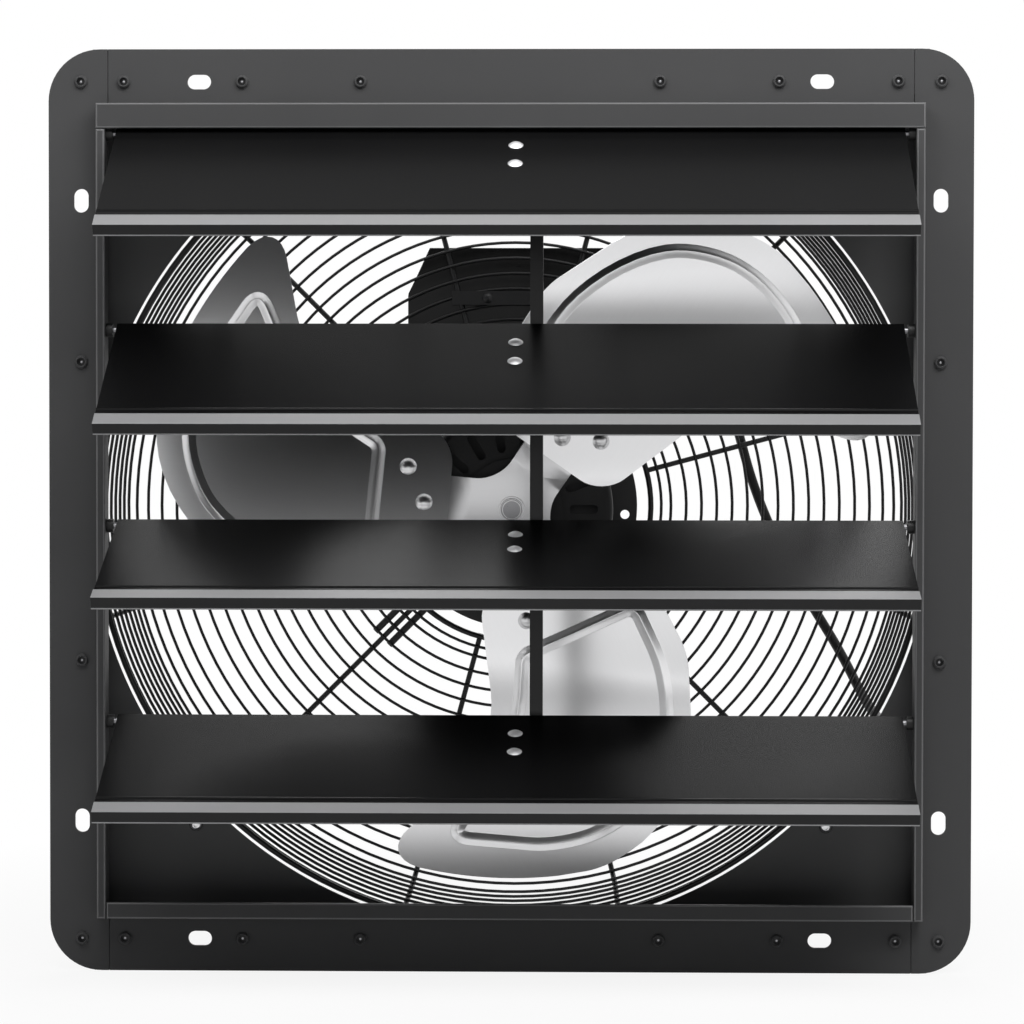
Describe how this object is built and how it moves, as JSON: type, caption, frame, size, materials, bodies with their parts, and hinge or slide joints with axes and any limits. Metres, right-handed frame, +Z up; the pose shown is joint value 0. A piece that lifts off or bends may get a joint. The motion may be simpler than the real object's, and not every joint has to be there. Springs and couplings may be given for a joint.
{
  "type": "shutter exhaust fan",
  "caption": "Square wall exhaust fan: swinging louvres in a raised frame, pressed-blade fan and motor in a round wire guard, with a junction box and mains cord behind.",
  "frame": {"origin": "centre of the wall flange's back face, which is the centre of the slot pattern", "axes": "+Z up, +X to the right seen from the louvre side, +Y into the wall; the fan axis is Y and the louvres face -Y"},
  "size_m": [0.624, 0.3639, 0.624],
  "materials": {
    "black_coat": "satin black powder coat",
    "louvre_coat": "semi-gloss black coated sheet",
    "bracket_steel": "zinc plated",
    "bright_steel": "bright zinc plated steel",
    "black_screw": "black oxide",
    "black_plastic": "moulded plastic",
    "black_wire": "black coated wire",
    "motor_coat": "black paint",
    "core_steel": "stacked electrical sheet",
    "box_plastic": "gloss moulded plastic",
    "cord_rubber": "round rubber cord",
    "blade_metal": "plain rolled aluminium sheet"
  },
  "bodies": {
    "frame": {"left_frame_rail": "black_coat", "right_frame_rail": "black_coat", "top_frame_rail": "black_coat", "bottom_frame_rail": "black_coat", "housing_left_wall": "black_coat", "housing_right_wall": "black_coat", "housing_top_wall": "black_coat", "housing_bottom_wall": "black_coat", "corner_gussets": "black_coat", "flange_screws": "black_screw", "hex_nuts": "bright_steel", "pivot_bushes": "black_plastic", "guard_side_rings": "black_wire", "guard_face_rings": "black_wire", "guard_face_spokes": "black_wire", "guard_side_wires": "black_wire", "guard_feet": "black_wire", "guard_screws": "bright_steel", "motor_plate": "black_wire", "motor_support_wires": "black_wire", "motor_front_bell": "motor_coat", "motor_casing": "motor_coat", "motor_rear_bell": "motor_coat", "motor_stator": "core_steel", "motor_bearings": "bright_steel", "motor_bolts": "bright_steel", "junction_box": "box_plastic", "junction_box_cover": "box_plastic", "box_screws": "bright_steel", "box_clamp": "black_wire", "cable_gland": "black_plastic", "supply_cord": "cord_rubber", "cord_coil": "cord_rubber", "cord_tie": "black_plastic", "mains_plug": "black_plastic"},
    "fan_rotor": {"motor_shaft": "bright_steel", "rotor_core": "core_steel", "fan_spider": "bright_steel", "lock_nut": "bright_steel", "fan_blade_1": "blade_metal", "fan_blade_2": "blade_metal", "fan_blade_3": "blade_metal", "blade_rivets": "bright_steel"},
    "louvre_1": {"louvre_blade_1": "louvre_coat", "louvre_bracket_1": "bracket_steel", "louvre_rivets_1": "bright_steel", "louvre_pins_1": "bright_steel"},
    "louvre_2": {"louvre_blade_2": "louvre_coat", "louvre_bracket_2": "bracket_steel", "louvre_rivets_2": "bright_steel", "louvre_pins_2": "bright_steel"},
    "louvre_3": {"louvre_blade_3": "louvre_coat", "louvre_bracket_3": "bracket_steel", "louvre_rivets_3": "bright_steel", "louvre_pins_3": "bright_steel"},
    "louvre_4": {"louvre_blade_4": "louvre_coat", "louvre_bracket_4": "bracket_steel", "louvre_rivets_4": "bright_steel", "louvre_pins_4": "bright_steel"},
    "tie_rod": {"tie_rod": "black_coat"}
  },
  "joints": [
    {"name": "fan_spin", "type": "hinge", "parent": "frame", "child": "fan_rotor", "pos_m": [0, 0.058, 0], "axis": [0, 1, 0], "continuous": true},
    {"name": "louvre_1_swing", "type": "hinge", "parent": "frame", "child": "louvre_1", "pos_m": [0, -0.01, 0.2544], "axis": [-1, 0, 0], "range_deg": [-54.8, 8]},
    {"name": "louvre_2_swing", "type": "hinge", "parent": "frame", "child": "louvre_2", "pos_m": [0, -0.01, 0.1224], "axis": [-1, 0, 0], "range_deg": [-57.01, 8.33]},
    {"name": "louvre_3_swing", "type": "hinge", "parent": "frame", "child": "louvre_3", "pos_m": [0, -0.01, -0.0096], "axis": [-1, 0, 0], "range_deg": [-66.41, 9.7]},
    {"name": "louvre_4_swing", "type": "hinge", "parent": "frame", "child": "louvre_4", "pos_m": [0, -0.01, -0.1416], "axis": [-1, 0, 0], "range_deg": [-64.01, 9.35]},
    {"name": "tie_rod_pivot", "type": "hinge", "parent": "louvre_1", "child": "tie_rod", "pos_m": [0.018, 0.006, 0.2264], "axis": [-1, 0, 0], "range_deg": [-8.01, 54.81]}
  ],
  "couplings": [
    {"joint": "louvre_2_swing", "follows": "louvre_1_swing", "ratio": 1.0401},
    {"joint": "louvre_3_swing", "follows": "louvre_1_swing", "ratio": 1.2117},
    {"joint": "louvre_4_swing", "follows": "louvre_1_swing", "ratio": 1.1679},
    {"joint": "tie_rod_pivot", "follows": "louvre_1_swing", "ratio": -1}
  ]
}
